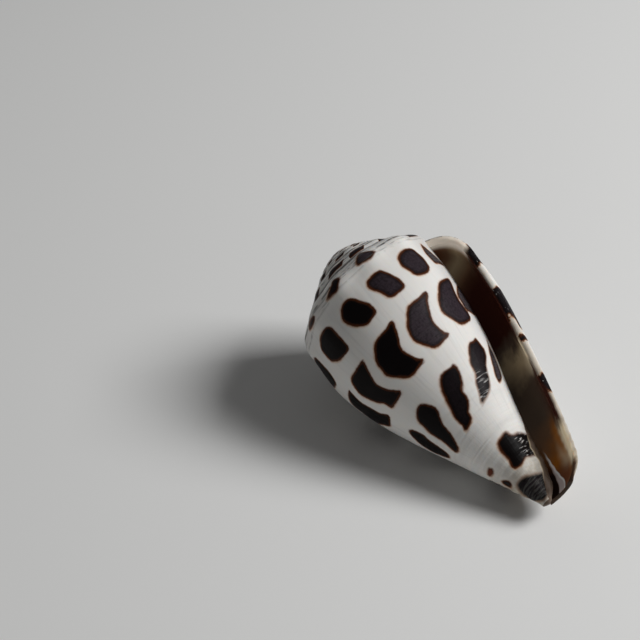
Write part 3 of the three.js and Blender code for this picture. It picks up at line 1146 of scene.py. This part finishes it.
def inside_colour(finish):
    """Brown bands inside the aperture with painted shade deeper in, and the glaze of the pillar."""
    deep = finish.field("deep")
    wander = finish.field("up") + finish.noise(3, 2) * 0.09 + finish.noise(0.7, 2) * 0.02
    rim_width = 0.02 + 0.06 * finish.over(up=WIDE_RIM_UP)
    rim_fade = 0.2 - 0.15 * finish.over(up=SHARP_RIM_UP)
    deeper = finish.ease(deep - rim_width, 0, rim_fade)
    lining = finish.layered(
        finish.mix(deeper, finish.bands(wander, RIM_BANDS), finish.bands(wander, DEEP_BANDS)),
        (finish.over(up=RED_UP, deep=RED_DEEP) * 0.75, RED_BROWN),
        (orange_streak(finish, deep) * 0.85, ORANGE_BROWN),
        # painted shade: black deep in the upper aperture
        (finish.over(up=SHADE_UP, deep=SHADE_DEEP) * 0.6, BLACK),
    )
    low_edge = finish.over(inside=(0.99, CANAL_EDGE_INSIDE), up=LOW_EDGE_UP)
    glazed = finish.mix(finish.ease(finish.noise(1.2, 3), -0.2, 0.25), GREY_BROWN, GLAZE)
    return finish.layered(canal_colour(finish, lining, deep), (low_edge * 0.85, EDGE_BROWN),
                          (finish.field("pillar"), glazed))


def orange_streak(finish, deep):
    """An orange line low in the aperture, between the pale edge and the brown lining."""
    leaning = deep + 0.07 * finish.over(up=STREAK_LEANS_UP)
    across = finish.ease(leaning, *STREAK_STARTS) * finish.ease(leaning, *STREAK_ENDS)
    strength = 0.35 * finish.over(up=STREAK_FAINT_UP) + 0.65 * finish.over(up=STREAK_STRONG_UP)
    return across * strength * finish.over(up=STREAK_UP)


def canal_colour(finish, lining, deep):
    """The canal at the base painted near-black as shade, with a pale edge along it that starts in a painted
    lit line.
    """
    canal = finish.ease(deep, CANAL_EDGE - 0.01, CANAL_EDGE + 0.02)
    start = SLIVER_START + (CANAL_EDGE - SLIVER_START) * (finish.field("up") / SLIVER_POINT) ** 0.9
    sliver = finish.ease(deep - start, 0, 0.015) * finish.over(up=(SLIVER_POINT, SLIVER_FULL)) * (1 - canal)
    lit_line = finish.ease(deep - start, 0.045, 0.02)
    # painted shade: the canal near-black, with a painted lit line where its pale edge starts
    return finish.layered(lining, (canal * finish.over(up=CANAL_UP), NEAR_BLACK),
                          (sliver, finish.mix(lit_line, SHELL_GREY, WHITE)))


def white_lip(finish):
    """1 by the rim where the lip has no dark layer."""
    return sum(finish.over(up=starts, deep=fades) * finish.over(up=ends)
               for starts, ends, fades in WHITE_PARTS)


def lining_share(finish):
    """1 where the skin has the lining's colours and 0 where it has the outside's."""
    inside = finish.field("inside")
    further = sum(reach * finish.over(up=places) for reach, places in LINING_ON_RIM)
    return finish.ease(inside + further * finish.ease(inside, 0, 0.1), 0.45, 0.95)


def fine_relief(finish, lining):
    """Spiral cords and growth ripples on the outside, and a fine grain all over."""
    cords = finish.grain(CORD_GRAIN, 2) * (0.4 + 3.2 * finish.over(along=CORDS_ALONG))
    ripples = finish.grain(RIPPLE_GRAIN, 2) * 0.8
    return (cords + ripples) * (1 - lining) + finish.noise(0.35, 3) * 0.35


def shell_finish():
    finish = Finish("patterned_shell")
    lining = lining_share(finish)
    inside = inside_colour(finish)
    through = THROUGH_DARK + (1 - THROUGH_DARK) * white_lip(finish)
    # painted glow: the lining emits some light, standing in for light let through the thin lip
    lit_through = lining * (1 - finish.field("pillar")) * through
    bump = {"Strength": 0.5, "Distance": 0.00006, "Height": fine_relief(finish, lining)}
    sockets = {
        "Base Color": finish.mix(lining, outside_colour(finish), inside),
        "Emission Color": finish.mix(lit_through, BLACK, inside),
        "Emission Strength": THROUGH_LIP,
        "Roughness": 0.42 + finish.noise(0.8, 3) * 0.25 + 0.3 * by_lip(finish),
        "Normal": finish.node("ShaderNodeBump", {}, bump),
        "Subsurface Weight": 0.5,
        "Subsurface Radius": (1, 0.8, 0.65),
        "Subsurface Scale": 0.0006,
        "Specular IOR Level": 0.06,
    }
    for name, value in sockets.items():
        finish.feed(finish.surface.inputs[name], value)
    return finish.material


def make_shell():
    pieces = [bend_grid(*patch) for patch in skin_patches()]
    bpy.ops.object.select_all(action="DESELECT")
    for piece in pieces:
        piece.select_set(True)
    shell = pieces[0]
    bpy.context.view_layer.objects.active = shell
    bpy.ops.object.join()
    bpy.ops.object.mode_set(mode="EDIT")
    bpy.ops.mesh.select_all(action="SELECT")
    bpy.ops.mesh.remove_doubles(threshold=WELD)
    bpy.ops.object.mode_set(mode="OBJECT")
    bpy.ops.object.shade_smooth_by_angle(angle=SMOOTH_BELOW)
    shell.name = "cone_shell_skin"
    shell.data.name = "cone_shell_skin"
    shell.data.materials.append(shell_finish())
    return shell


def make_floor():
    bpy.ops.object.select_all(action="DESELECT")
    bpy.ops.mesh.primitive_plane_add(size=FLOOR_SIZE)
    floor = bpy.context.object
    floor.name = "floor"
    paper = bpy.data.materials.new("pale_floor")
    paper.use_nodes = True
    surface = paper.node_tree.nodes["Principled BSDF"]
    surface.inputs["Base Color"].default_value = FLOOR_COLOUR
    surface.inputs["Roughness"].default_value = FLOOR_ROUGHNESS
    floor.data.materials.append(paper)


def make_camera():
    right, up, back = view_axes()
    data = bpy.data.cameras.new("photo_view")
    data.sensor_width = SENSOR
    data.lens = FOCAL_PIXELS / FRAME_PIXELS * SENSOR
    data.clip_start = NEAREST_SEEN
    camera = bpy.data.objects.new("photo_view", data)
    bpy.context.scene.collection.objects.link(camera)
    spot = (aim_point() + back * VIEW_DISTANCE) * MM
    turned = Matrix((right, up, back)).transposed().to_4x4()
    camera.matrix_world = Matrix.Translation(Vector(spot)) @ turned
    bpy.context.scene.camera = camera


def make_key_light():
    """A square soft light that faces the shell from its bearing."""
    data = bpy.data.lights.new("key", "AREA")
    data.size = KEY_SIZE
    data.energy = KEY_POWER
    light = bpy.data.objects.new("key", data)
    bpy.context.scene.collection.objects.link(light)
    level = math.cos(KEY_ELEVATION)
    bearing = Vector((math.sin(KEY_AZIMUTH) * level, -math.cos(KEY_AZIMUTH) * level, math.sin(KEY_ELEVATION)))
    light.location = bearing * KEY_REACH
    light.rotation_euler = bearing.to_track_quat("Z", "Y").to_euler()


def make_sky():
    world = bpy.data.worlds.new("studio")
    bpy.context.scene.world = world
    world.use_nodes = True
    sky = world.node_tree.nodes["Background"]
    sky.inputs["Color"].default_value = (1, 1, 1, 1)
    sky.inputs["Strength"].default_value = SKY_STRENGTH
    bpy.context.scene.view_settings.view_transform = "Standard"


shell = make_shell()
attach(shell, "root")
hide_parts("cone_shell")
make_floor()
make_camera()
make_key_light()
make_sky()
